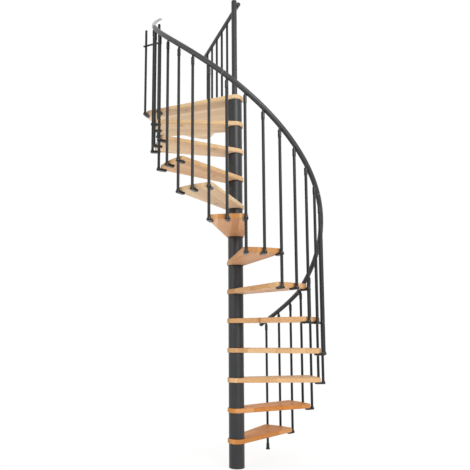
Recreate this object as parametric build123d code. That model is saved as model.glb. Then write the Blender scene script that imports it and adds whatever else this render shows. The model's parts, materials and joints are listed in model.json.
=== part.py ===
from build123d import *
import os
from math import acos, asin, atan2, ceil, cos, degrees, hypot, radians, sin, sqrt

# Spiral staircase with a stacked tube column, wooden treads and a wooden landing.
# The axis of the column is Z and the floor is the plane Z = 0. Lengths are in
# millimetres, angles in degrees. Going up, the stair turns clockwise seen from above.

# Stair
TREAD_COUNT = 12
BALUSTERS_PER_TREAD = 2
FIRST_RISER = 200.0
RISER = 210.0
TREAD_TURN = 21.4
FIRST_NOSE_ANGLE = 65.0

# Treads: a round hub, two straight edges tangent to it and an outer arc
TREAD_RADIUS = 600.0
TREAD_THICKNESS = 33.0
TREAD_OVERLAP = 18.0
TREAD_CORNER_RADIUS = 22.0
TREAD_EDGE_RADIUS = 8.0
HUB_DIAMETER = 128.0

# Landing: a wider wedge than a tread, reaching past the ring of balusters
LANDING_ANGLE = 48.2
LANDING_REACH = 157.0
LANDING_CORNER_RADIUS = 60.0

# Column of spacer tubes on a base plate bolted to the floor
COLUMN_DIAMETER = 110.0
COLUMN_WALL = 3.0
BASE_PLATE_THICKNESS = 10.0
BASE_PLATE_CLEARANCE = 0.2
BASE_BOLT_CIRCLE_DIAMETER = 68.0
BASE_BOLT_HOLE = 11.0
BASE_BOLT_COUNT = 4

# Balusters stand just outside the treads, each in a shoe screwed under the tread
BALUSTER_DIAMETER = 19.0
BALUSTER_GAP = 7.5
SOCKET_CLEARANCE = 0.15
SHOE_LENGTH = 76.0
SHOE_WIDTH = 32.0
SHOE_THICKNESS = 12.0
SHOE_FLOOR = 3.0
SHOE_CHAMFER = 4.0
BOSS_BASE_DIAMETER = 28.0
BOSS_TOP_DIAMETER = 23.5
BOSS_HEIGHT = 10.0
FOOT_DIAMETER = 34.0
FOOT_RIM = 6.0
FOOT_HEIGHT = 48.0

# Heads between the balusters and the handrail
HEAD_DIAMETER = 23.0
HEAD_HEIGHT = 46.0
HEAD_TAPER = 6.0
NECK_DIAMETER = 13.0
NECK_LENGTH = 8.0
SEAT_CLEARANCE = 0.2

# Handrail: a round rail on a helix over the balusters, made in lengths. Shares are of the
# climb from the first nose to the landing's nose. Lifts and drops are from the even helix.
RAIL_DIAMETER = 34.0
RAIL_HEIGHT = 792.0
RAIL_LOWER_SHARE = -0.0175
RAIL_JOINT_SHARES = (0.1146, 0.35, 0.633)
RAIL_UPPER_SHARE = 0.89
RAIL_END_SHARE = 1.008
RAIL_LOWER_LIFT = 60.0
RAIL_FIRST_DROP = 22.0
RAIL_SECOND_LIFT = 14.0
RAIL_THIRD_DROP = 7.0
RAIL_UPPER_DROP = 43.0
RAIL_END_DROP = 60.0
RAIL_CAP_LENGTH = 12.0
RAIL_ARC_ANGLE = 20.0

# Guard on the landing: a post on the column's axis and a level rail along the far edge
POST_DIAMETER = 42.0
POST_ABOVE_RAIL = 17.0
POST_EDGE_RADIUS = 3.0
GUARD_RAIL_DIAMETER = 32.0
GUARD_RAIL_HEIGHT = 776.0
GUARD_RAIL_BACK = 4.0
GUARD_RAIL_END = 66.0
GUARD_CLEARANCE = 0.2
GUARD_BALUSTER_COUNT = 5
GUARD_BALUSTER_START = 235.0
GUARD_BALUSTER_PITCH = 118.0
GUARD_FOOT_DIAMETER = 36.0
GUARD_FOOT_HEIGHT = 8.0

# Corner baluster of the landing, tied to the last baluster of the spiral by a level bar
CORNER_BALUSTER_HEIGHT = 675.0
CORNER_BALUSTER_SPACING = 118.0
TIE_BAR_DIAMETER = 14.0
TIE_BAR_DROP = 143.0
TIE_BAR_OVERHANG = 13.0

# Length by which a cutting tool passes the faces that it cuts
OVERRUN = 5.0

# Worked-out places
HUB_RADIUS = HUB_DIAMETER / 2
BALUSTER_RADIUS = BALUSTER_DIAMETER / 2
BALUSTER_OFFSET = BALUSTER_GAP + BALUSTER_RADIUS
BALUSTER_CIRCLE = TREAD_RADIUS + BALUSTER_OFFSET
RAIL_RADIUS = RAIL_DIAMETER / 2
LANDING_LEVEL = TREAD_COUNT + 1
LANDING_TOP = FIRST_RISER + TREAD_COUNT * RISER
LAST_STEP = BALUSTERS_PER_TREAD * TREAD_COUNT
STEP_TURN = TREAD_TURN / BALUSTERS_PER_TREAD
RAIL_LOWER = RAIL_LOWER_SHARE * LAST_STEP
RAIL_JOINTS = tuple(share * LAST_STEP for share in RAIL_JOINT_SHARES)
RAIL_UPPER = RAIL_UPPER_SHARE * LAST_STEP
RAIL_END = RAIL_END_SHARE * LAST_STEP
RAIL_STEPS = (RAIL_LOWER,) + RAIL_JOINTS + (RAIL_UPPER, RAIL_END)
RAIL_DROPS = (RAIL_FIRST_DROP, -RAIL_SECOND_LIFT, RAIL_THIRD_DROP, RAIL_UPPER_DROP, RAIL_END_DROP)
RAIL_LIFTS = (RAIL_LOWER_LIFT,) + tuple(-drop for drop in RAIL_DROPS)
LANDING_RADIUS = TREAD_RADIUS + LANDING_REACH
OVERLAP_TURN = degrees(TREAD_OVERLAP / TREAD_RADIUS)
HALF_LEVEL = LANDING_LEVEL // 2
HALF_STEP = LAST_STEP // 2
STANDING = (Align.CENTER, Align.CENTER, Align.MIN)


def step_angle(step):
    """Direction from the column's axis to a baluster; steps count the balusters upwards."""
    return FIRST_NOSE_ANGLE - step * STEP_TURN


def nose_step(level):
    """Step of the baluster at a tread's nose."""
    return (level - 1) * BALUSTERS_PER_TREAD


def polar(radius, angle):
    """Plan point at a distance and direction from the column's axis."""
    return Vector(radius * cos(radians(angle)), radius * sin(radians(angle)), 0)


NOSE_DIRECTION = step_angle(LAST_STEP) - degrees(asin((HUB_RADIUS + BALUSTER_OFFSET) / BALUSTER_CIRCLE))
FAR_DIRECTION = NOSE_DIRECTION - LANDING_ANGLE


def tread_top(level):
    """Height of the top of a tread or of the landing."""
    return FIRST_RISER + (level - 1) * RISER


def under_tread(level):
    """Height of the underside of a tread or of the landing."""
    return tread_top(level) - TREAD_THICKNESS


def rail_length(step):
    """Number of the length of handrail at a step, counted from the foot."""
    return sum(step >= joint for joint in RAIL_STEPS[1:-1])


def rail_height(step):
    """Height of the handrail's centre line at a step of the helix."""
    helix = RAIL_HEIGHT + FIRST_RISER + RISER * step / BALUSTERS_PER_TREAD
    length = rail_length(step)
    start, end = RAIL_STEPS[length], RAIL_STEPS[length + 1]
    share = (step - start) / (end - start)
    return helix + (1 - share) * RAIL_LIFTS[length] + share * RAIL_LIFTS[length + 1]


def rail_slope(step):
    """Slope of the handrail at a step, in degrees."""
    length = rail_length(step)
    start, end = RAIL_STEPS[length], RAIL_STEPS[length + 1]
    run = radians(STEP_TURN) * (end - start) * BALUSTER_CIRCLE
    return degrees(atan2(rail_height(end) - rail_height(start), run))


def rounded_plate(face):
    """A wooden plate below the plane Z = 0 with its edges rounded over."""
    plate = extrude(face, amount=-TREAD_THICKNESS)
    rims = plate.edges().group_by(Axis.Z)
    return fillet(list(rims[0]) + list(rims[-1]), TREAD_EDGE_RADIUS)


def make_tread():
    """One tread with its middle line along +X and its top on the plane Z = 0."""
    half_turn = TREAD_TURN / 2 + OVERLAP_TURN
    tangent_turn = half_turn + degrees(acos(HUB_RADIUS / TREAD_RADIUS))
    nose, back = polar(TREAD_RADIUS, half_turn), polar(TREAD_RADIUS, -half_turn)
    hub_nose, hub_back = polar(HUB_RADIUS, tangent_turn), polar(HUB_RADIUS, -tangent_turn)
    outline = [
        Line(hub_nose, nose),
        ThreePointArc(nose, (TREAD_RADIUS, 0), back),
        Line(back, hub_back),
        ThreePointArc(hub_back, (-HUB_RADIUS, 0), hub_nose),
    ]
    face = make_face(outline)
    face = fillet(face.vertices().group_by(Axis.X)[-1], TREAD_CORNER_RADIUS)
    return rounded_plate(face)


def make_landing():
    """The landing: two straight edges tangent to the hub and an outer arc."""
    edge_length = sqrt(LANDING_RADIUS**2 - HUB_RADIUS**2)
    hub_nose = polar(HUB_RADIUS, NOSE_DIRECTION + 90)
    hub_far = polar(HUB_RADIUS, FAR_DIRECTION - 90)
    nose = hub_nose + polar(edge_length, NOSE_DIRECTION)
    far = hub_far + polar(edge_length, FAR_DIRECTION)
    middle = (NOSE_DIRECTION + FAR_DIRECTION) / 2
    outline = [
        Line(hub_nose, nose),
        ThreePointArc(nose, polar(LANDING_RADIUS, middle), far),
        Line(far, hub_far),
        ThreePointArc(hub_far, polar(HUB_RADIUS, middle + 180), hub_nose),
    ]
    face = make_face(outline)
    corners = [v for v in face.vertices() if hypot(v.X, v.Y) > TREAD_RADIUS]
    return Pos(0, 0, LANDING_TOP) * rounded_plate(fillet(corners, LANDING_CORNER_RADIUS))


def make_tube(level):
    """The spacer tube below a tread, standing on the tread below or on the floor."""
    bottom = tread_top(level - 1) if level > 1 else 0
    ring = Circle(COLUMN_DIAMETER / 2) - Circle(COLUMN_DIAMETER / 2 - COLUMN_WALL)
    return Pos(0, 0, bottom) * extrude(ring, amount=under_tread(level) - bottom)


def make_base_plate():
    """Plate inside the foot of the first tube, with anchor holes."""
    disc = Circle(COLUMN_DIAMETER / 2 - COLUMN_WALL - BASE_PLATE_CLEARANCE)
    holes = PolarLocations(BASE_BOLT_CIRCLE_DIAMETER / 2, BASE_BOLT_COUNT) * Circle(BASE_BOLT_HOLE / 2)
    return extrude(disc - holes, amount=BASE_PLATE_THICKNESS)


def make_socket(depth):
    """A hole for a baluster that goes down from the plane Z = 0 by a depth, and up out of any boss."""
    hole = extrude(Circle(BALUSTER_RADIUS + SOCKET_CLEARANCE), amount=depth + FOOT_HEIGHT + BOSS_HEIGHT)
    return Pos(0, 0, -depth) * hole


def make_cone(lower_diameter, upper_diameter, height):
    """A cone that stands on the plane Z = 0."""
    return Cone(lower_diameter / 2, upper_diameter / 2, height, align=STANDING)


def make_shoe(blind):
    """A shoe with its top on the plane Z = 0, its socket on Z and its tail along -X."""
    reach = SHOE_LENGTH - SHOE_WIDTH
    pad = extrude(Pos(-reach / 2, 0) * SlotCenterToCenter(reach, SHOE_WIDTH), amount=-SHOE_THICKNESS)
    pad = chamfer(pad.edges().group_by(Axis.Z)[0], SHOE_CHAMFER)
    boss = make_cone(BOSS_BASE_DIAMETER, BOSS_TOP_DIAMETER, BOSS_HEIGHT)
    depth = SHOE_THICKNESS - SHOE_FLOOR if blind else SHOE_THICKNESS + OVERRUN
    return pad + boss - make_socket(depth)


def place_shoe(shoe, step, level):
    """A shoe under a tread, with its tail towards the column."""
    at = polar(BALUSTER_CIRCLE, step_angle(step))
    return Pos(at.X, at.Y, under_tread(level)) * Rot(0, 0, step_angle(step)) * shoe


def make_floor_foot():
    """Flared foot of the first baluster on the floor."""
    rim = extrude(Circle(FOOT_DIAMETER / 2), amount=FOOT_RIM)
    flare = Pos(0, 0, FOOT_RIM) * make_cone(BOSS_BASE_DIAMETER, BOSS_TOP_DIAMETER, FOOT_HEIGHT - FOOT_RIM)
    socket = Pos(0, 0, SHOE_FLOOR) * make_socket(0)
    at = polar(BALUSTER_CIRCLE, step_angle(0))
    return Pos(at.X, at.Y) * (rim + flare - socket)


def baluster_foot(step):
    """Height of the lower end of a baluster of the spiral."""
    if step == 0:
        return SHOE_FLOOR
    level = (step + BALUSTERS_PER_TREAD - 1) // BALUSTERS_PER_TREAD
    return under_tread(level) - SHOE_THICKNESS + SHOE_FLOOR


def rail_underside(step):
    """Height of the handrail's underside straight below its centre line."""
    return rail_height(step) - RAIL_RADIUS / cos(radians(rail_slope(step)))


def baluster_top(step):
    """Height of the upper end of a baluster of the spiral."""
    return rail_underside(step) - NECK_LENGTH - HEAD_TAPER - HEAD_HEIGHT


def make_rod(x, y, bottom, top, diameter):
    """An upright round rod."""
    return Pos(x, y, bottom) * extrude(Circle(diameter / 2), amount=top - bottom)


def make_baluster(step):
    """One baluster of the spiral."""
    at = polar(BALUSTER_CIRCLE, step_angle(step))
    return make_rod(at.X, at.Y, baluster_foot(step), baluster_top(step), BALUSTER_DIAMETER)


def make_head(step):
    """Collar and neck on a baluster, with a saddle that follows the handrail."""
    collar = extrude(Circle(HEAD_DIAMETER / 2), amount=HEAD_HEIGHT)
    taper = Pos(0, 0, HEAD_HEIGHT) * make_cone(HEAD_DIAMETER, NECK_DIAMETER, HEAD_TAPER)
    neck = extrude(Circle(NECK_DIAMETER / 2), amount=NECK_LENGTH + RAIL_RADIUS)
    neck = Pos(0, 0, HEAD_HEIGHT + HEAD_TAPER) * neck
    at = polar(BALUSTER_CIRCLE, step_angle(step))
    head = Pos(at.X, at.Y, baluster_top(step)) * (collar + taper + neck)
    along_rail = Rot(0, 0, step_angle(step)) * Rot(90 - rail_slope(step), 0, 0)
    rail = along_rail * Cylinder(RAIL_RADIUS + SEAT_CLEARANCE, RAIL_DIAMETER * 2)
    head = head - Pos(at.X, at.Y, rail_height(step)) * rail
    return head.solids().sort_by(Axis.Z)[0]


def rail_point(step, start, end):
    """Point on the centre line of the length of handrail that runs between two steps."""
    slope = (rail_height(end) - rail_height(start)) / (end - start)
    height = rail_height(start) + (step - start) * slope
    return polar(BALUSTER_CIRCLE, step_angle(step)) + Vector(0, 0, height)


def rail_heading(step, slope):
    """Direction of the handrail at a step, going up."""
    return polar(cos(radians(slope)), step_angle(step) - 90) + Vector(0, 0, sin(radians(slope)))


def tangent_arcs(start, start_heading, end, end_heading):
    """Two arcs that join two points and keep the heading at both."""
    gap = end - start
    turned = 2 * (1 - start_heading.dot(end_heading))
    ahead = 2 * gap.dot(start_heading + end_heading)
    reach = (sqrt(ahead**2 + 4 * turned * gap.dot(gap)) - ahead) / (2 * turned)
    middle = (start + start_heading * reach + end - end_heading * reach) / 2
    middle_heading = (end - end_heading * reach - start - start_heading * reach).normalized()
    return [
        TangentArc(start, middle, tangent=start_heading),
        TangentArc(middle, end, tangent=middle_heading),
    ]


def make_rail(start, end):
    """A length of the handrail: a round bar along arcs on the helix, cut upright at its joints."""
    slope = rail_slope((start + end) / 2)
    spare = RAIL_DIAMETER / BALUSTER_CIRCLE / radians(STEP_TURN)
    first = start if start == RAIL_LOWER else start - spare
    last = end if end == RAIL_END else end + spare
    count = ceil((last - first) * STEP_TURN / RAIL_ARC_ANGLE)
    steps = [first + (last - first) * i / count for i in range(count + 1)]
    arcs = []
    for lower, upper in zip(steps, steps[1:]):
        arcs += tangent_arcs(
            rail_point(lower, start, end),
            rail_heading(lower, slope),
            rail_point(upper, start, end),
            rail_heading(upper, slope),
        )
    section = Plane(origin=rail_point(first, start, end), z_dir=rail_heading(first, slope))
    bar = sweep(section * Circle(RAIL_RADIUS), path=Wire(arcs))
    if first < start:
        bar = split(bar, bisect_by=Plane.XZ.rotated((0, 0, step_angle(start))), keep=Keep.TOP)
    if last > end:
        bar = split(bar, bisect_by=Plane.XZ.rotated((0, 0, step_angle(end))), keep=Keep.BOTTOM)
    return bar


def make_rail_cap(step, way):
    """Domed cap on an end of the handrail; way is 1 at the top and -1 at the foot."""
    slope = rail_slope(step)
    at = polar(BALUSTER_CIRCLE, step_angle(step)) + Vector(0, 0, rail_height(step))
    ball_radius = (RAIL_RADIUS**2 + RAIL_CAP_LENGTH**2) / (2 * RAIL_CAP_LENGTH)
    ball = Pos(0, 0, RAIL_CAP_LENGTH - ball_radius) * Sphere(ball_radius)
    dome = split(ball, bisect_by=Plane.XY, keep=Keep.TOP)
    return Plane(origin=at, z_dir=rail_heading(step, slope) * way) * dome


def guard_point(along, height):
    """Point on the guard rail's line, by its distance along the landing's far edge."""
    aside = POST_DIAMETER / 2 + GUARD_CLEARANCE + GUARD_RAIL_DIAMETER / 2
    return polar(along, FAR_DIRECTION) + polar(aside, FAR_DIRECTION - 90) + Vector(0, 0, height)


def guard_places():
    """Distances of the guard's balusters along the landing's far edge."""
    return [GUARD_BALUSTER_START + GUARD_BALUSTER_PITCH * i for i in range(GUARD_BALUSTER_COUNT)]


def make_guard_rail(diameter):
    """The level rail beside the post."""
    start = guard_point(-GUARD_RAIL_BACK, LANDING_TOP + GUARD_RAIL_HEIGHT)
    length = GUARD_RAIL_BACK + guard_places()[-1] + GUARD_RAIL_END
    return Plane(origin=start, z_dir=polar(1, FAR_DIRECTION)) * extrude(Circle(diameter / 2), amount=length)


def make_guard_baluster(along):
    """One baluster of the guard, with its top cut to the rail."""
    at = guard_point(along, 0)
    rod = make_rod(at.X, at.Y, LANDING_TOP + SHOE_FLOOR, LANDING_TOP + GUARD_RAIL_HEIGHT, BALUSTER_DIAMETER)
    cut = rod - make_guard_rail(GUARD_RAIL_DIAMETER + 2 * SEAT_CLEARANCE)
    return cut.solids().sort_by(Axis.Z)[0]


def make_guard_foot(along):
    """Round flange under a baluster of the guard."""
    at = guard_point(along, LANDING_TOP)
    flange = make_cone(GUARD_FOOT_DIAMETER, BOSS_TOP_DIAMETER, GUARD_FOOT_HEIGHT)
    return Pos(at.X, at.Y, at.Z) * (flange - Pos(0, 0, SHOE_FLOOR) * make_socket(0))


def make_post():
    """Post on the column's axis, with a rounded top edge."""
    post = make_rod(0, 0, LANDING_TOP, LANDING_TOP + GUARD_RAIL_HEIGHT + POST_ABOVE_RAIL, POST_DIAMETER)
    return fillet(post.edges().sort_by(Axis.Z)[-1], POST_EDGE_RADIUS)


def corner_place():
    """Plan point of the landing's corner baluster, beyond the last baluster of the spiral."""
    return polar(BALUSTER_CIRCLE, step_angle(LAST_STEP)) + polar(CORNER_BALUSTER_SPACING, NOSE_DIRECTION)


def make_corner_baluster():
    """Short baluster at the nose corner of the landing."""
    at = corner_place()
    foot = under_tread(LANDING_LEVEL) - SHOE_THICKNESS + SHOE_FLOOR
    return make_rod(at.X, at.Y, foot, LANDING_TOP + CORNER_BALUSTER_HEIGHT, BALUSTER_DIAMETER)


def make_tie_bar():
    """Level bar in front of the corner baluster and the last baluster of the spiral."""
    ahead = polar(BALUSTER_RADIUS + TIE_BAR_DIAMETER / 2, NOSE_DIRECTION + 90)
    height = Vector(0, 0, LANDING_TOP + CORNER_BALUSTER_HEIGHT - TIE_BAR_DROP)
    last = polar(BALUSTER_CIRCLE, step_angle(LAST_STEP)) + ahead + height
    corner = corner_place() + ahead + height
    heading = (corner - last).normalized()
    start = last - heading * BALUSTER_RADIUS
    length = (corner - last).length + BALUSTER_RADIUS + TIE_BAR_OVERHANG
    return Plane(origin=start, z_dir=heading) * extrude(Circle(TIE_BAR_DIAMETER / 2), amount=length)


def make_landing_shoes():
    """Shoes under the landing for the last baluster of the spiral and the corner baluster."""
    last = polar(BALUSTER_CIRCLE, step_angle(LAST_STEP))
    corner = corner_place()
    turned = Rot(0, 0, NOSE_DIRECTION + 90)
    under = under_tread(LANDING_LEVEL)
    return [
        Pos(last.X, last.Y, under) * turned * make_shoe(blind=False),
        Pos(corner.X, corner.Y, under) * turned * make_shoe(blind=True),
    ]


def make_tread_shoes(levels):
    """The shoes of a run of treads: the baluster passes the nose shoe and stands in the others."""
    through, blind = make_shoe(blind=False), make_shoe(blind=True)
    shoes = []
    for level in levels:
        nose = nose_step(level)
        shoes.append(place_shoe(through, nose, level))
        shoes += [place_shoe(blind, nose + i, level) for i in range(1, BALUSTERS_PER_TREAD + 1)]
    return shoes


def build_nodes():
    """Every sub-part of the staircase by name, as a list of solids."""
    nodes = {"base_plate": [make_base_plate()]}
    nodes["column_tubes_lower"] = [make_tube(level) for level in range(1, HALF_LEVEL + 1)]
    nodes["column_tubes_upper"] = [make_tube(level) for level in range(HALF_LEVEL + 1, LANDING_LEVEL + 1)]
    tread = make_tread()
    for level in range(1, TREAD_COUNT + 1):
        nose = nose_step(level)
        turned = Rot(0, 0, step_angle(nose) - TREAD_TURN / 2) * tread
        nodes[f"tread_{level:02d}"] = [Pos(0, 0, tread_top(level)) * turned]
        nodes[f"balusters_{level:02d}"] = [make_baluster(nose + i) for i in range(BALUSTERS_PER_TREAD)]
    nodes["landing"] = [make_landing()]
    nodes["landing_nose_baluster"] = [make_baluster(LAST_STEP)]
    nodes["tread_shoes_lower"] = make_tread_shoes(range(1, HALF_LEVEL + 1))
    nodes["tread_shoes_upper"] = make_tread_shoes(range(HALF_LEVEL + 1, TREAD_COUNT + 1))
    nodes["floor_foot"] = [make_floor_foot()]
    nodes["baluster_heads_lower"] = [make_head(step) for step in range(HALF_STEP)]
    nodes["baluster_heads_upper"] = [make_head(step) for step in range(HALF_STEP, LAST_STEP + 1)]
    lengths = [make_rail(start, end) for start, end in zip(RAIL_STEPS, RAIL_STEPS[1:])]
    for number, length in enumerate(lengths[:-1], 1):
        nodes[f"handrail_{number}"] = [length]
    nodes["handrail_end"] = [lengths[-1]]
    nodes["handrail_foot_cap"] = [make_rail_cap(RAIL_LOWER, -1)]
    nodes["handrail_end_cap"] = [make_rail_cap(RAIL_END, 1)]
    nodes["landing_post"] = [make_post()]
    nodes["guard_rail"] = [make_guard_rail(GUARD_RAIL_DIAMETER)]
    nodes["guard_balusters"] = [make_guard_baluster(along) for along in guard_places()]
    nodes["guard_feet"] = [make_guard_foot(along) for along in guard_places()]
    nodes["corner_baluster"] = [make_corner_baluster()]
    nodes["corner_tie_bar"] = [make_tie_bar()]
    nodes["landing_shoes"] = make_landing_shoes()
    return nodes


def export_nodes(nodes):
    """Write each sub-part to its own file."""
    os.makedirs("parts", exist_ok=True)
    for name, solids in nodes.items():
        shape = solids[0] if len(solids) == 1 else Compound(children=list(solids))
        export_step(shape, f"parts/{name}.step")


export_nodes(build_nodes())
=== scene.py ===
import json
from math import atan2, cos, pi, radians, sin

import bpy
from mathutils import Matrix, Vector


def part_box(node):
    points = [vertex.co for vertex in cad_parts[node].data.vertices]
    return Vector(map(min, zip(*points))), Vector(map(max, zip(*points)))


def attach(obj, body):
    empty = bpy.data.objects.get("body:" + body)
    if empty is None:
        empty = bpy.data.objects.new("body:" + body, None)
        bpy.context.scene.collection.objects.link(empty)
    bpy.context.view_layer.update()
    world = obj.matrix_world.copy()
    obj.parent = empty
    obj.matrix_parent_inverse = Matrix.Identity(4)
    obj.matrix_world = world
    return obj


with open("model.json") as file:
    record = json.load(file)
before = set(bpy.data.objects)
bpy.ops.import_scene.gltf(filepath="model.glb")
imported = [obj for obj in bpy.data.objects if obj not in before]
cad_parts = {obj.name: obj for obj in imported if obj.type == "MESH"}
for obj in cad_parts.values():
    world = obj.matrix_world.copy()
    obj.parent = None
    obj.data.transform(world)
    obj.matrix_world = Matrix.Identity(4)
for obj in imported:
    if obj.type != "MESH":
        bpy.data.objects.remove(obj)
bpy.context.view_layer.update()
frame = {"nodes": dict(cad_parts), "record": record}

MM = 0.001

# Sizes of the stair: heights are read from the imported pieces, and the others are the part's own
TREAD_NODES = sorted(name for name in frame["nodes"] if name.removeprefix("tread_").isdigit())
RAIL_NODES = ["handrail_1", "handrail_2", "handrail_3", "handrail_4", "handrail_end"]
FIRST_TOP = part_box("tread_01")[1][2]
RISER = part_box("tread_02")[1][2] - FIRST_TOP
TREAD_TURN = radians(21.4)
FIRST_NOSE_ANGLE = radians(65.0)
# Turn from the middle of a tread to the line of its nose edge
NOSE_LEAN = radians(6.3)
BALUSTERS_PER_TREAD = 2
BALUSTER_CIRCLE = 617 * MM
SHOE_THICKNESS = 12 * MM
RAIL_RADIUS = 17 * MM

# Kinds of node that are used often
MATH = "ShaderNodeMath"
RANGE = "ShaderNodeMapRange"
SPLIT = "ShaderNodeSeparateXYZ"
JOIN = "ShaderNodeCombineXYZ"
TURN = "ShaderNodeVectorRotate"
NOISE = "ShaderNodeTexNoise"
CHANCE = "ShaderNodeTexWhiteNoise"
RAMP = "ShaderNodeValToRGB"
PLACE = "ShaderNodeTexCoord"


def linear(hex_colour):
    """An sRGB hex colour as linear RGBA."""
    channels = [int(hex_colour[i:i + 2], 16) / 255 for i in (1, 3, 5)]
    return [c / 12.92 if c <= 0.04045 else ((c + 0.055) / 1.055) ** 2.4 for c in channels] + [1.0]


def add(tree, kind, inputs=(), stops=(), **settings):
    """Adds a node with its settings and colour stops, and sets or links its inputs.

    Inputs are a list from the first one on, or a dictionary by name. A node given as an input is
    linked by its first output.
    """
    node = tree.nodes.new(kind)
    for name, value in settings.items():
        setattr(node, name, value)
    for key, value in inputs.items() if isinstance(inputs, dict) else enumerate(inputs):
        if isinstance(value, bpy.types.Node):
            value = value.outputs[0]
        if isinstance(value, bpy.types.NodeSocket):
            tree.links.new(value, node.inputs[key])
        else:
            node.inputs[key].default_value = value
    elements = node.color_ramp.elements if stops else []
    while len(elements) < len(stops):
        elements.new(0.5)
    for element, (position, colour) in zip(elements, stops):
        element.position = position
        element.color = linear(colour)
    return node


def new_material(name):
    """An empty node material and its tree."""
    material = bpy.data.materials.new(name)
    material.use_nodes = True
    material.node_tree.nodes.clear()
    return material, material.node_tree


# Wood of the treads and the landing
LEVEL_MARGIN = 1 * MM
# Each tread shows another part of the pattern, shifted this far from the one below
BOARD_SHIFT_ALONG = 1370 * MM
BOARD_SHIFT_ACROSS = 593 * MM
STAVE_WIDTH = 44 * MM
STAVE_LENGTH = 1400 * MM
STAVE_COLOURS = [(0.2, "#B27B47"), (0.45, "#C38D57"), (0.62, "#CD9C69"), (0.85, "#D8AD80")]
SEAM_WIDTH = 1.32 * MM
SEAM_DEPTH = 0.3
# The grain is drawn about 7 mm wide, coarser than beech has it, so that it shows
GRAIN_LENGTH = 111.1 * MM
GRAIN_STRETCH = 16.0
GRAIN_JUMP = 7000 * MM
GRAIN_RELIEF = 0.3 * MM
GRAIN_SHARE = 0.58
TINT_SHARE = 0.42
KNOT_SPACING = 190 * MM
KNOT_SQUEEZE = 0.7
KNOT_SHARE = 0.45
KNOT_RADIUS = 6 * MM
KNOT_EDGE_SHARES = (1.3, 0.6)
KNOT_HALO = 26 * MM
HALO_SHADE = -0.22
MARK_COLOUR = "#7A4B26"
MARK_DEPTH = 0.85
# The seed was searched for, so that the treads that are deep or pale in the photograph are so here
# This seed makes the lower treads deep and the upper ones pale: each board's own random tone, and partly
# painted light from above
TONE_SEED = 109679
# Each range runs from the deepest tread to the palest
TONE_SATURATION = (1.21, 0.75)
TONE_LIGHTNESS = (0.84, 1.12)
TONE_HUE = (0.483, 0.518)
FACING_START = 0.6
FACING_FULL = 0.95
# Painted shade on the tops and outer ends of the treads: richer and darker
TOP_PAINTED_SHADE_SATURATION = 0.06
TOP_AND_END_PAINTED_SHADE = -0.07
# Painted light on the undersides of the treads: paler and less saturated
UNDER_PAINTED_LIGHT_SATURATION = -0.15
UNDER_PAINTED_LIGHT = 0.28
WOOD_ROUGHNESS = (0.42, 0.56)


def level_and_turn(tree, place):
    """The number of the tread that a point lies in, and the turn that lays its nose edge along X."""
    height = add(tree, SPLIT, [place]).outputs["Z"]
    above_first = add(tree, MATH, [height, FIRST_TOP + LEVEL_MARGIN], operation="SUBTRACT")
    risers = add(tree, MATH, [above_first, RISER], operation="DIVIDE")
    treads_below = add(tree, MATH, [risers], operation="CEIL")
    level = add(tree, MATH, [treads_below, 1.0], operation="ADD")
    start = -FIRST_NOSE_ANGLE - TREAD_TURN / 2 - NOSE_LEAN
    turn = add(tree, MATH, [level, TREAD_TURN, start], operation="MULTIPLY_ADD")
    return level, turn


def stave_and_tint(tree, along, across):
    """The count of staves up to a point, and a tint that changes from one piece of wood to the next."""
    stave = add(tree, MATH, [across, STAVE_WIDTH], operation="DIVIDE")
    stave_number = add(tree, MATH, [stave], operation="FLOOR")
    shift = add(tree, CHANCE, {"W": stave_number}, noise_dimensions="1D")
    lengths = add(tree, MATH, [along, STAVE_LENGTH], operation="DIVIDE")
    piece = add(tree, MATH, [lengths, shift], operation="ADD")
    piece_number = add(tree, MATH, [piece], operation="FLOOR")
    key = add(tree, JOIN, {"X": stave_number, "Y": piece_number})
    tint = add(tree, CHANCE, {"Vector": key}, noise_dimensions="2D")
    return stave, tint


def grain_lines(tree, along, across, height, tint):
    """Long thin lines of grain, which start at another place in each piece of wood."""
    jump = add(tree, MATH, [tint, GRAIN_JUMP], operation="MULTIPLY")
    place = add(tree, JOIN, {
        "X": add(tree, MATH, [along, jump], operation="ADD"),
        "Y": add(tree, MATH, [across, GRAIN_STRETCH], operation="MULTIPLY"),
        "Z": add(tree, MATH, [height, GRAIN_STRETCH], operation="MULTIPLY"),
    })
    return add(tree, NOISE, {
        "Vector": place, "Scale": 1 / GRAIN_LENGTH, "Detail": 5.0, "Roughness": 0.62, "Distortion": 0.4,
    })


def knot_core_and_halo(tree, along, across):
    """A few small knots: their dark cores, and the deeper coloured wood round them."""
    squeezed = add(tree, MATH, [along, KNOT_SQUEEZE], operation="MULTIPLY")
    place = add(tree, JOIN, {"X": squeezed, "Y": across})
    cells = add(tree, "ShaderNodeTexVoronoi", {
        "Vector": place, "Scale": 1 / KNOT_SPACING, "Randomness": 0.9,
    }, voronoi_dimensions="2D").outputs
    chance = add(tree, "ShaderNodeSeparateColor", [cells["Color"]]).outputs["Red"]
    present = add(tree, MATH, [chance, KNOT_SHARE], operation="LESS_THAN")
    distance = add(tree, MATH, [cells["Distance"], KNOT_SPACING], operation="MULTIPLY")
    outer, inner = [KNOT_RADIUS * share for share in KNOT_EDGE_SHARES]
    core = add(tree, RANGE, {"Value": distance, "From Min": outer, "From Max": inner})
    halo = add(tree, RANGE, {"Value": distance, "From Min": KNOT_HALO, "From Max": KNOT_RADIUS})
    return [add(tree, MATH, [mark, present], operation="MULTIPLY") for mark in (core, halo)]


def glue_seams(tree, stave):
    """The thin line of glue along both sides of each stave."""
    across = add(tree, MATH, [stave], operation="FRACT")
    from_middle = add(tree, MATH, [across, 0.5], operation="SUBTRACT")
    edge = add(tree, MATH, [from_middle], operation="ABSOLUTE")
    seam = add(tree, RANGE, {"Value": edge, "From Min": 0.5 - SEAM_WIDTH / STAVE_WIDTH, "From Max": 0.5})
    return add(tree, MATH, [seam, SEAM_DEPTH], operation="MULTIPLY")


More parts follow.
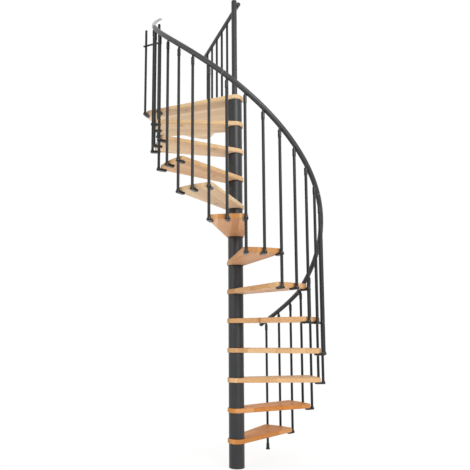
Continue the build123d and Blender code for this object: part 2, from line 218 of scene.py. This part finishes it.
def top_end_and_under(tree, normal, turn):
    """How much a surface is a tread's top, its outer end or its underside, from zero to one each."""
    facing = add(tree, TURN, {"Vector": normal, "Angle": turn}, rotation_type="Z_AXIS")
    sides = add(tree, SPLIT, [facing]).outputs
    top = add(tree, RANGE, {"Value": sides["Z"], "From Min": FACING_START, "From Max": FACING_FULL})
    end = add(tree, RANGE, {"Value": sides["X"], "From Min": FACING_START, "From Max": FACING_FULL})
    under = add(tree, RANGE, {"Value": sides["Z"], "From Min": -FACING_START, "From Max": -FACING_FULL})
    return top, end, under


def board_colour_and_painted_light(tree, staves, level, top, end, under):
    """The staves in the tone of their own board, with painted shade on tops and outer ends and painted
    light on the undersides.
    """
    # Random tone per tread, with a seed that makes the upper treads paler, partly as painted light from
    # above
    seed = add(tree, MATH, [level, TONE_SEED], operation="ADD")
    tone = add(tree, CHANCE, {"W": seed}, noise_dimensions="1D")
    saturation, lightness, hue = [
        add(tree, RANGE, {"Value": tone, "To Min": deepest, "To Max": palest})
        for deepest, palest in (TONE_SATURATION, TONE_LIGHTNESS, TONE_HUE)
    ]
    # Painted shade: the tops and the outer ends come out richer and darker
    painted_shade_share = add(tree, MATH, [top, end], operation="MAXIMUM")
    top_shade_saturation = add(tree, MATH, [top, TOP_PAINTED_SHADE_SATURATION, saturation], operation="MULTIPLY_ADD")
    painted_shade_value = add(tree, MATH, [painted_shade_share, TOP_AND_END_PAINTED_SHADE, lightness], operation="MULTIPLY_ADD")
    # Painted light: the undersides come out paler and less saturated
    return add(tree, "ShaderNodeHueSaturation", {
        "Hue": hue,
        "Saturation": add(tree, MATH, [under, UNDER_PAINTED_LIGHT_SATURATION, top_shade_saturation], operation="MULTIPLY_ADD"),
        "Value": add(tree, MATH, [under, UNDER_PAINTED_LIGHT, painted_shade_value], operation="MULTIPLY_ADD"),
        "Color": staves,
    })


def lacquered_beech():
    """Laminated beech staves under clear lacquer: warm strips along each nose, soft grain, a low sheen.

    Each tread comes from its own board, so some are honey coloured and others paler, with a few small
    knots. The tops and the outer ends get painted shade, richer and darker, and the undersides get
    painted light, paler and less saturated.
    """
    material, tree = new_material("lacquered_beech_staves")
    surface = add(tree, PLACE).outputs
    level, turn = level_and_turn(tree, surface["Object"])
    laid = add(tree, TURN, {"Vector": surface["Object"], "Angle": turn}, rotation_type="Z_AXIS")
    axes = add(tree, SPLIT, [laid]).outputs
    along = add(tree, MATH, [level, BOARD_SHIFT_ALONG, axes["X"]], operation="MULTIPLY_ADD")
    across = add(tree, MATH, [level, BOARD_SHIFT_ACROSS, axes["Y"]], operation="MULTIPLY_ADD")
    stave, tint = stave_and_tint(tree, along, across)
    grain = grain_lines(tree, along, across, axes["Z"], tint)
    core, halo = knot_core_and_halo(tree, along, across)
    lines = add(tree, MATH, [grain, GRAIN_SHARE], operation="MULTIPLY")
    figure = add(tree, MATH, [tint, TINT_SHARE, lines], operation="MULTIPLY_ADD")
    knotted = add(tree, MATH, [halo, HALO_SHADE, figure], operation="MULTIPLY_ADD")
    staves = add(tree, RAMP, [knotted], STAVE_COLOURS)
    colour = board_colour_and_painted_light(tree, staves, level, *top_end_and_under(tree, surface["Normal"], turn))
    marks = add(tree, MATH, [glue_seams(tree, stave), core], operation="MAXIMUM")
    marked = add(tree, "ShaderNodeMix", {
        "Factor": add(tree, MATH, [marks, MARK_DEPTH], operation="MULTIPLY"),
        "A": colour.outputs["Color"],
        "B": linear(MARK_COLOUR),
    }, data_type="RGBA")
    relief = add(tree, "ShaderNodeBump", {"Height": grain, "Strength": 0.12, "Distance": GRAIN_RELIEF})
    smoothest, roughest = WOOD_ROUGHNESS
    shader = add(tree, "ShaderNodeBsdfPrincipled", {
        "Base Color": marked.outputs["Result"],
        "Roughness": add(tree, RANGE, {"Value": grain, "To Min": smoothest, "To Max": roughest}),
        "Normal": relief,
        "Specular IOR Level": 0.1,
        "Coat Weight": 0.03,
        "Coat Roughness": 0.3,
    })
    add(tree, "ShaderNodeOutputMaterial", {"Surface": shader})
    return material


# Coats, plastics and bare metals
SKIN_CLOUD = 71.4 * MM
SKIN_PEEL = 2.5 * MM
SKIN_RELIEF = 0.1 * MM
SKIN_UNEVENNESS = 0.05
ALUMINIUM_PATCH = 16.67 * MM
ZINC_PATCH = 3 * MM


def satin_skin(name, dark, light, roughness, specular):
    """A coat or a moulded skin: faint clouds of tone, fine orange peel, a soft and uneven sheen."""
    material, tree = new_material(name)
    place = add(tree, PLACE).outputs["Object"]
    cloud = add(tree, NOISE, {"Vector": place, "Scale": 1 / SKIN_CLOUD, "Detail": 3.0})
    peel = add(tree, NOISE, {"Vector": place, "Scale": 1 / SKIN_PEEL, "Detail": 2.0})
    relief = add(tree, "ShaderNodeBump", {"Height": peel, "Strength": 0.15, "Distance": SKIN_RELIEF})
    shader = add(tree, "ShaderNodeBsdfPrincipled", {
        "Base Color": add(tree, RAMP, [cloud], [(0.3, dark), (0.7, light)]),
        "Roughness": add(tree, RANGE, {
            "Value": cloud, "To Min": roughness - SKIN_UNEVENNESS, "To Max": roughness + SKIN_UNEVENNESS,
        }),
        "Normal": relief,
        "Specular IOR Level": specular,
    })
    add(tree, "ShaderNodeOutputMaterial", {"Surface": shader})
    return material


def bare_metal(name, patch, colours, detail, roughness):
    """Metal without a coat: soft patches of tone, and a shine that changes a little with them."""
    material, tree = new_material(name)
    place = add(tree, PLACE).outputs["Object"]
    cloud = add(tree, NOISE, {"Vector": place, "Scale": 1 / patch, "Detail": detail})
    shader = add(tree, "ShaderNodeBsdfPrincipled", {
        "Base Color": add(tree, RAMP, [cloud], colours),
        "Roughness": add(tree, RANGE, {"Value": cloud, "To Min": roughness[0], "To Max": roughness[1]}),
        "Metallic": 1.0,
    })
    add(tree, "ShaderNodeOutputMaterial", {"Surface": shader})
    return material


BEECH = lacquered_beech()

# Powder coat baked on steel: dark grey with a satin shine, darker on the thin balusters
COLUMN_COAT = satin_skin(
    "anthracite_powder_coat_column", "#222325", "#27282A", roughness=0.4, specular=0.45,
)
BALUSTER_COAT = satin_skin(
    "anthracite_powder_coat_balusters", "#131415", "#18191B", roughness=0.4, specular=0.35,
)

# Vinyl cover drawn over the rail: a paler grey with a soft sheen
RAIL_COVER = satin_skin("grey_vinyl_rail_cover", "#2A2B2C", "#313233", roughness=0.4, specular=0.5)

# Nylon from a polished mould: nearly black, with small bright highlights on its bosses and rims
NYLON = satin_skin("black_moulded_nylon", "#0B0C0D", "#101112", roughness=0.28, specular=0.45)

# Aluminium with a satin finish: bright, with soft blurred reflections
ALUMINIUM = bare_metal(
    "satin_aluminium", ALUMINIUM_PATCH, [(0.3, "#9C9D9E"), (0.7, "#AEAFB0")],
    detail=4.0, roughness=(0.24, 0.36),
)

# Zinc plate on screw steel: cool grey with a faint cloudy spangle and a half-bright shine
ZINC = bare_metal(
    "zinc_plated_steel", ZINC_PATCH, [(0.35, "#8B8D8E"), (0.65, "#A3A5A7")],
    detail=2.0, roughness=(0.32, 0.46),
)

SLOT_MATERIALS = {
    "wood": BEECH,
    "column_steel": COLUMN_COAT,
    "baluster_steel": BALUSTER_COAT,
    "rail": RAIL_COVER,
    "fittings": NYLON,
    "bright_end": ALUMINIUM,
}

for row in frame["record"]["subparts"]:
    for material_slot in frame["nodes"][row["node"]].material_slots:
        material_slot.material = SLOT_MATERIALS[row["material_slot"]]


# Fittings that repeat
SCREW_SETBACK = 36 * MM
SCREW_RADIUS = 4.5 * MM
SCREW_HEIGHT = 2.4 * MM
SCREW_TOP_SHARE = 0.6
SCREW_SIDES = 16
RECESS_LENGTH_SHARE = 0.9
RECESS_WIDTH_SHARE = 0.22
BAND_WIDTH = 2 * MM
BAND_LIP = 0.3 * MM
WASHER_HEIGHT = 4 * MM
WASHER_LIP = 2 * MM
RING_SINK = 1.5 * MM
RING_SIDES = 48
RING_EDGE_SHARE = 0.25
END_FACE_TURN = radians(0.05)


def points_object(name, points, headings):
    """A mesh of loose points, each with the direction that its fitting faces."""
    mesh = bpy.data.meshes.new(name)
    mesh.from_pydata(points, [], [])
    facing = mesh.attributes.new("facing", "FLOAT_VECTOR", "POINT")
    for item, heading in zip(facing.data, headings):
        item.vector = heading
    obj = bpy.data.objects.new(name, mesh)
    bpy.context.scene.collection.objects.link(obj)
    return obj


def new_tree(name, sizes):
    """A Geometry Nodes tree with a geometry input, named sizes and a geometry output."""
    tree = bpy.data.node_groups.new(name, "GeometryNodeTree")
    tree.interface.new_socket("Geometry", in_out="INPUT", socket_type="NodeSocketGeometry")
    for size in sizes:
        tree.interface.new_socket(size, in_out="INPUT", socket_type="NodeSocketFloat")
    tree.interface.new_socket("Geometry", in_out="OUTPUT", socket_type="NodeSocketGeometry")
    return tree, add(tree, "NodeGroupInput").outputs


def set_on_points(tree, points, fitting, material):
    """Sets a fitting on every point, turned the way that the point faces, as real geometry."""
    facing = add(tree, "GeometryNodeInputNamedAttribute", {"Name": "facing"}, data_type="FLOAT_VECTOR")
    turned = add(tree, "FunctionNodeAlignRotationToVector", {
        "Vector": facing.outputs["Attribute"],
    }, axis="Z")
    placed = add(tree, "GeometryNodeInstanceOnPoints", {
        "Points": points, "Instance": fitting, "Rotation": turned,
    })
    real = add(tree, "GeometryNodeRealizeInstances", {"Geometry": placed})
    done = add(tree, "GeometryNodeSetMaterial", {"Geometry": real, "Material": material})
    add(tree, "NodeGroupOutput", {"Geometry": done})


def grow(points, tree, sizes):
    """Runs a tree on a points object and keeps the result as a plain mesh that rides on the stair."""
    modifier = points.modifiers.new(tree.name, "NODES")
    modifier.node_group = tree
    for item in tree.interface.items_tree:
        if item.in_out == "INPUT" and item.name in sizes:
            modifier[item.identifier] = sizes[item.name]
    evaluated = points.evaluated_get(bpy.context.evaluated_depsgraph_get())
    mesh = bpy.data.meshes.new_from_object(evaluated)
    points.modifiers.clear()
    points.data = mesh
    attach(points, "root")


def tread_shoe_screws():
    """Places of the screws in the tails of the shoes below the treads, on the undersides of the shoes."""
    reach = BALUSTER_CIRCLE - SCREW_SETBACK
    places = []
    for level, name in enumerate(TREAD_NODES):
        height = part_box(name)[0][2] - SHOE_THICKNESS
        for i in range(BALUSTERS_PER_TREAD + 1):
            angle = FIRST_NOSE_ANGLE - TREAD_TURN * (level + i / BALUSTERS_PER_TREAD)
            places.append((reach * cos(angle), reach * sin(angle), height))
    return places


def landing_shoe_screws():
    """Places of the screws in the two shoes below the landing, whose tails lie square to its nose."""
    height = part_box("landing")[0][2] - SHOE_THICKNESS
    feet = []
    for name in ("landing_nose_baluster", "corner_baluster"):
        low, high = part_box(name)
        feet.append(Vector(((low[0] + high[0]) / 2, (low[1] + high[1]) / 2, height)))
    along = (feet[1] - feet[0]).normalized()
    tail = Vector((along.y, -along.x, 0))
    return [tuple(foot + tail * SCREW_SETBACK) for foot in feet]


def make_shoe_screws():
    """One flanged pan-head screw with a cross recess in the tail of each shoe."""
    points = tread_shoe_screws() + landing_shoe_screws()
    screws = points_object("shoe_screws", points, [(0, 0, -1)] * len(points))
    tree, sizes = new_tree("cross_recess_screw", ["Radius", "Height"])
    radius, height = sizes["Radius"], sizes["Height"]
    head = add(tree, "GeometryNodeMeshCone", {
        "Vertices": SCREW_SIDES,
        "Side Segments": 2,
        "Radius Top": add(tree, MATH, [radius, SCREW_TOP_SHARE], operation="MULTIPLY"),
        "Radius Bottom": radius,
        "Depth": height,
    })
    cut = add(tree, "GeometryNodeMeshBoolean", {"Mesh 1": head}, operation="DIFFERENCE")
    length = add(tree, MATH, [radius, RECESS_LENGTH_SHARE], operation="MULTIPLY")
    width = add(tree, MATH, [radius, RECESS_WIDTH_SHARE], operation="MULTIPLY")
    lift = add(tree, JOIN, {"Z": height})
    for size_x, size_y in ((length, width), (width, length)):
        size = add(tree, JOIN, [size_x, size_y, height])
        bar = add(tree, "GeometryNodeMeshCube", {"Size": size})
        raised = add(tree, "GeometryNodeTransform", {"Geometry": bar, "Translation": lift})
        tree.links.new(raised.outputs["Geometry"], cut.inputs["Mesh 2"])
    set_on_points(tree, sizes["Geometry"], cut, ZINC)
    grow(screws, tree, {"Radius": SCREW_RADIUS, "Height": SCREW_HEIGHT})


def turn_from_start(place):
    """Clockwise turn of a point from the first nose."""
    return (FIRST_NOSE_ANGLE - atan2(place.y, place.x)) % (2 * pi)


def upper_end(name):
    """Middle point of the upper end face of a length of handrail."""
    corners = [v.co for v in frame["nodes"][name].data.vertices]
    middle = turn_from_start(sum(corners, Vector()) / len(corners))
    turns = [(turn_from_start(c) - middle + pi) % (2 * pi) - pi for c in corners]
    limit = max(turns)
    face = [c for c, turn in zip(corners, turns) if abs(turn - limit) < END_FACE_TURN]
    low = min(face, key=lambda c: c.z)
    high = max(face, key=lambda c: c.z)
    return (low + high) / 2


def ring_tree(name, material):
    """A tree that sets a ring with softened edges round every point."""
    tree, sizes = new_tree(name, ["Radius", "Depth", "Width"])
    hoop = add(tree, "GeometryNodeCurvePrimitiveCircle", {
        "Resolution": RING_SIDES, "Radius": sizes["Radius"],
    })
    band = add(tree, "GeometryNodeCurvePrimitiveQuadrilateral", {
        "Width": sizes["Depth"], "Height": sizes["Width"],
    })
    soft = add(tree, "GeometryNodeFilletCurve", {
        "Curve": band,
        "Radius": add(tree, MATH, [sizes["Depth"], RING_EDGE_SHARE], operation="MULTIPLY"),
        "Count": 2,
    }, mode="POLY")
    ring = add(tree, "GeometryNodeCurveToMesh", {"Curve": hoop, "Profile Curve": soft})
    set_on_points(tree, sizes["Geometry"], ring, material)
    return tree


def ring_sizes(inner_radius, lip, width):
    """Sizes of a ring that is sunk a little into what it goes round and stands out by its lip."""
    return {"Radius": inner_radius + (lip - RING_SINK) / 2, "Depth": lip + RING_SINK, "Width": width}


def make_joint_bands():
    """A thin aluminium band round the handrail at each joint between two lengths."""
    joints = [upper_end(name) for name in RAIL_NODES[:-1]]
    climb = Vector((0, 0, RISER / (TREAD_TURN * BALUSTER_CIRCLE)))
    headings = [(Vector((joint.y, -joint.x, 0)).normalized() + climb).normalized() for joint in joints]
    bands = points_object("handrail_joint_bands", joints, headings)
    grow(bands, ring_tree("joint_band", ALUMINIUM), ring_sizes(RAIL_RADIUS, BAND_LIP, BAND_WIDTH))


def make_column_washers_and_shade_lines():
    """A nylon spacer washer round the column above and below each tread and below the landing. Its
    near-black ring under each hub is also painted shade: the contact shadow line where the tread meets the
    column.
    """
    heights = []
    for name in TREAD_NODES:
        low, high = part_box(name)
        heights += [low[2] - WASHER_HEIGHT / 2, high[2] + WASHER_HEIGHT / 2]
    heights.append(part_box("landing")[0][2] - WASHER_HEIGHT / 2)
    washers = points_object("column_washers", [(0, 0, z) for z in heights], [(0, 0, 1)] * len(heights))
    column_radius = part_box("column_tubes_lower")[1][0]
    grow(washers, ring_tree("column_washer", NYLON), ring_sizes(column_radius, WASHER_LIP, WASHER_HEIGHT))


make_shoe_screws()
make_joint_bands()
make_column_washers_and_shade_lines()


# Stage, in metres and watts: a pale floor that fades to white, a white world and soft lamps
WHITE = "#FFFFFF"
FLOOR_COLOUR = "#F4F4F2"
FLOOR_SIZE = 30.0
FADE_START = 0.1
FADE_END = 1.2
LEAST_WHITE = 0.85
WORLD_LIGHT = 0.8
WORLD_SEEN = 1.0
# Each lamp has a name, a place, the spot that it points at, its width and height, and its power
LAMPS = [
    ("key_lamp", (2.2, -4.6, 4.3), (0, 0, 2.1), (2.6, 2.6), 150),
    ("fill_lamp", (-4.0, -3.0, 2.6), (0, 0, 1.4), (3.0, 3.0), 38),
    ("back_lamp", (1.0, 4.0, 4.5), (0, 0, 1.6), (3.0, 3.0), 80),
    ("strip_lamp", (2.2, -3.4, 1.2), (0, 0, 0.9), (0.5, 2.3), 18),
]


def seen_as_background(tree):
    """One for rays that come from the camera, a reflection or a clear surface, and zero for light."""
    path = add(tree, "ShaderNodeLightPath").outputs
    mirrored = add(tree, MATH, [path["Is Glossy Ray"], path["Is Transmission Ray"]], operation="MAXIMUM")
    return add(tree, MATH, [path["Is Camera Ray"], mirrored], operation="MAXIMUM")


def make_floor():
    """A pale floor that keeps the stair's soft shadow near it and fades to plain white away from it."""
    mesh = bpy.data.meshes.new("floor")
    half = FLOOR_SIZE / 2
    corners = [(-half, -half, 0), (half, -half, 0), (half, half, 0), (-half, half, 0)]
    mesh.from_pydata(corners, [], [(0, 1, 2, 3)])
    floor = bpy.data.objects.new("floor", mesh)
    bpy.context.scene.collection.objects.link(floor)
    material, tree = new_material("pale_floor")
    place = add(tree, PLACE).outputs["Object"]
    distance = add(tree, "ShaderNodeVectorMath", [place], operation="LENGTH").outputs["Value"]
    fade = add(tree, RANGE, {
        "Value": distance, "From Min": FADE_START, "From Max": FADE_END, "To Min": LEAST_WHITE,
    }, interpolation_type="SMOOTHSTEP")
    white_share = add(tree, MATH, [fade, seen_as_background(tree)], operation="MULTIPLY")
    matte = add(tree, "ShaderNodeBsdfDiffuse", {"Color": linear(FLOOR_COLOUR)})
    white = add(tree, "ShaderNodeEmission", {"Color": linear(WHITE), "Strength": 1.0})
    mix = add(tree, "ShaderNodeMixShader", [white_share, matte, white])
    add(tree, "ShaderNodeOutputMaterial", {"Surface": mix})
    mesh.materials.append(material)


def make_world():
    """Even white light, and a plain white background to the eye."""
    world = bpy.data.worlds.new("white_studio")
    bpy.context.scene.world = world
    world.use_nodes = True
    tree = world.node_tree
    tree.nodes.clear()
    seen = seen_as_background(tree)
    strength = add(tree, RANGE, {"Value": seen, "To Min": WORLD_LIGHT, "To Max": WORLD_SEEN})
    background = add(tree, "ShaderNodeBackground", {"Color": linear(WHITE), "Strength": strength})
    add(tree, "ShaderNodeOutputWorld", {"Surface": background})


def make_lamp(name, place, aim, size, power):
    """A flat soft lamp that points at a spot on the stair."""
    data = bpy.data.lights.new(name, "AREA")
    data.shape = "RECTANGLE"
    data.size, data.size_y = size
    data.energy = power
    lamp = bpy.data.objects.new(name, data)
    lamp.location = place
    lamp.rotation_euler = (Vector(aim) - Vector(place)).to_track_quat("-Z", "Y").to_euler()
    bpy.context.scene.collection.objects.link(lamp)


# Camera of the photograph, in metres, degrees, pixels and millimetres of sensor
CAMERA_PLACE = Vector((-0.0517, -3.5372, 0.9240))
CAMERA_PITCH = radians(6.422)
CAMERA_YAW = radians(2.367)
IMAGE_SIZE = 470
FOCAL_PIXELS = 486.038
CENTRE_PIXEL = (208.692, 279.955)
SENSOR = 36.0
CLIP_END = 100.0


def make_camera():
    """The photograph's camera: turned by yaw, tipped up by pitch, with the frame shifted to its centre."""
    data = bpy.data.cameras.new("photo_camera")
    data.sensor_width = SENSOR
    data.lens = FOCAL_PIXELS / IMAGE_SIZE * SENSOR
    data.shift_x = (IMAGE_SIZE / 2 - CENTRE_PIXEL[0]) / IMAGE_SIZE
    data.shift_y = (CENTRE_PIXEL[1] - IMAGE_SIZE / 2) / IMAGE_SIZE
    data.clip_end = CLIP_END
    camera = bpy.data.objects.new("photo_camera", data)
    bpy.context.scene.collection.objects.link(camera)
    level = cos(CAMERA_PITCH)
    forward = Vector((-sin(CAMERA_YAW) * level, cos(CAMERA_YAW) * level, sin(CAMERA_PITCH)))
    right = Vector((cos(CAMERA_YAW), sin(CAMERA_YAW), 0))
    up = right.cross(forward)
    turned = Matrix((right, up, -forward)).transposed().to_4x4()
    camera.matrix_world = Matrix.Translation(CAMERA_PLACE) @ turned
    bpy.context.scene.camera = camera


make_floor()
make_world()
for lamp_row in LAMPS:
    make_lamp(*lamp_row)
make_camera()

bpy.context.scene.view_settings.view_transform = "Standard"
